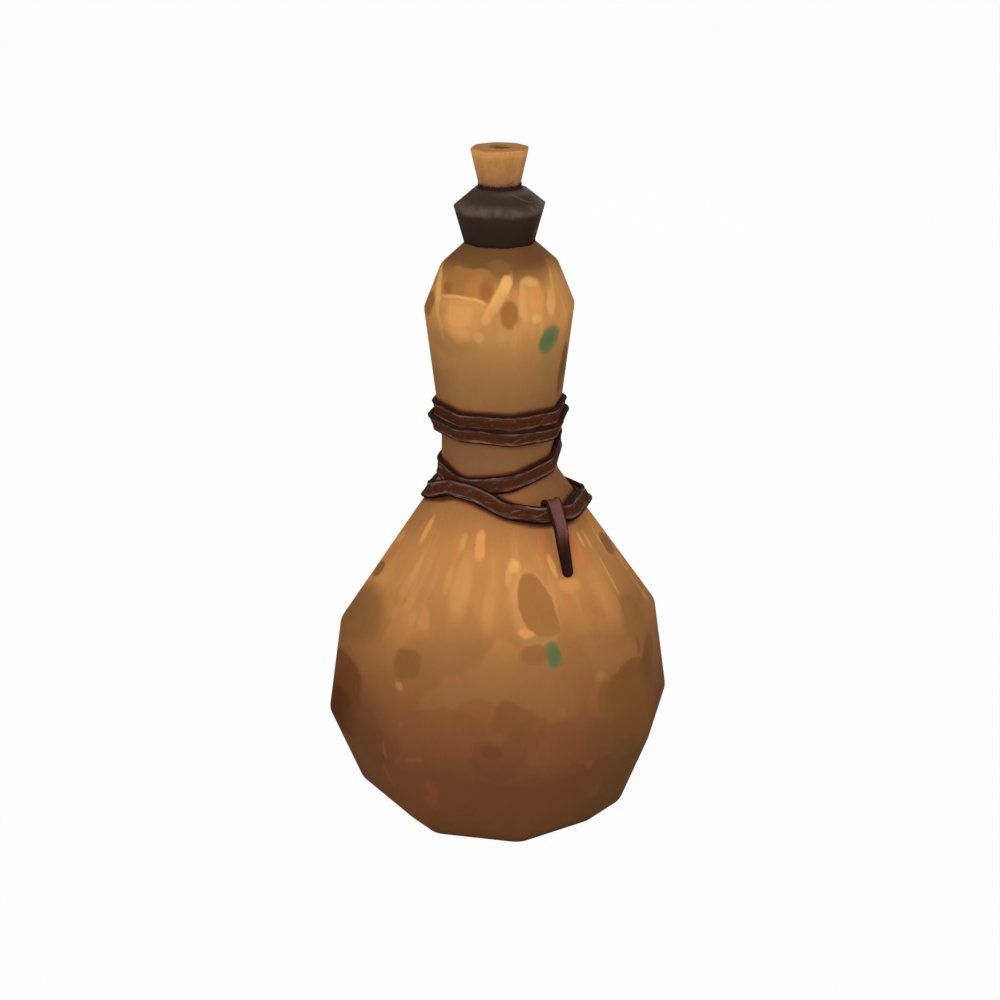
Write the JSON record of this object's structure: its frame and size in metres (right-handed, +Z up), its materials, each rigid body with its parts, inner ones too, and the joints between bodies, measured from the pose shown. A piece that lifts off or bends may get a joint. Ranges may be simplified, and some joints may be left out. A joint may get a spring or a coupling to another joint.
{
  "type": "bottle.gourd_water_bottle",
  "caption": "Gourd water bottle with a dark faceted collar, a tapered cork stopper and a flat leather thong wound round its neck, its loose end folded over the last turn.",
  "frame": {"origin": "Centre of the flat foot that the bottle stands on, which is the centre of the box's bottom.", "axes": "+Z is up through the mouth. The gourd's eight-sided belly has flats square to X and Y. The loose end of the thong hangs on the flat that faces +X and -Y."},
  "size_m": [0.1252, 0.1252, 0.2571],
  "materials": {
    "gourd_rind": "satin, stained and worn",
    "wax": "matte",
    "pitch": "matte",
    "dark_wood": "worn satin",
    "pitched_felt": "matte",
    "cork": "matte",
    "dark_leather": "worn satin"
  },
  "bodies": {
    "root": {"gourd_shell": "gourd_rind", "wax_lining": "wax", "pitch_seal": "pitch", "mouth_collar": "dark_wood", "stopper_gasket": "pitched_felt", "thong_winding": "dark_leather", "thong_tuck": "dark_leather", "thong_fold": "dark_leather"},
    "stopper": {"cork_stopper": "cork"},
    "thong_end": {"thong_tail": "dark_leather"}
  },
  "joints": [
    {"name": "stopper_slide", "type": "slide", "parent": "root", "child": "stopper", "axis": [0, 0, 1], "range_m": [0, 0.03]},
    {"name": "thong_end_hinge", "type": "hinge", "parent": "root", "child": "thong_end", "pos_m": [0.02343, -0.01771, 0.12891], "axis": [-0.7071, -0.7071, 0], "range_deg": [0, 100], "deforming": ["thong_fold"]}
  ]
}
